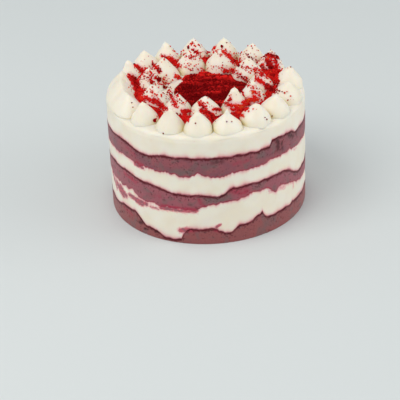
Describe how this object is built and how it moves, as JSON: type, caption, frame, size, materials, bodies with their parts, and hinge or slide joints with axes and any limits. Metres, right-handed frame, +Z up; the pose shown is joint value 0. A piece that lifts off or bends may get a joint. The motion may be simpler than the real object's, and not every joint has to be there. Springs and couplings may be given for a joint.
{
  "type": "red velvet mini cake",
  "caption": "Small round cake of red sponge layered with cream, topped with piped cream kisses, a bed of red crumb and scattered crumb.",
  "frame": {"origin": "centre of the flat base that the cake stands on", "axes": "+Z up; -Y towards the side that faces the viewer in the picture"},
  "size_m": [0.1, 0.1, 0.0715],
  "materials": {
    "cream": "smooth piped cream with a soft sheen",
    "sponge": "fine open sponge crumb, dull",
    "crumb": "dry red cake crumb, dull"
  },
  "bodies": {
    "root": {"sponge_bottom": "sponge", "cream_lower": "cream", "sponge_middle": "sponge", "cream_upper": "cream", "sponge_top": "sponge", "cream_top": "cream", "crumb_bed": "crumb", "kiss_outer_01": "cream", "kiss_outer_02": "cream", "kiss_outer_03": "cream", "kiss_outer_04": "cream", "kiss_outer_05": "cream", "kiss_outer_06": "cream", "kiss_outer_07": "cream", "kiss_outer_08": "cream", "kiss_outer_09": "cream", "kiss_outer_10": "cream", "kiss_outer_11": "cream", "kiss_outer_12": "cream", "kiss_outer_13": "cream", "kiss_outer_14": "cream", "kiss_outer_15": "cream", "kiss_mound": "cream", "kiss_inner_01": "cream", "kiss_inner_02": "cream", "kiss_inner_03": "cream", "kiss_inner_04": "cream", "kiss_inner_05": "cream", "kiss_inner_06": "cream", "kiss_inner_07": "cream", "kiss_inner_08": "cream", "kiss_inner_09": "cream", "kiss_inner_10": "cream", "kiss_inner_11": "cream"}
  },
  "joints": []
}
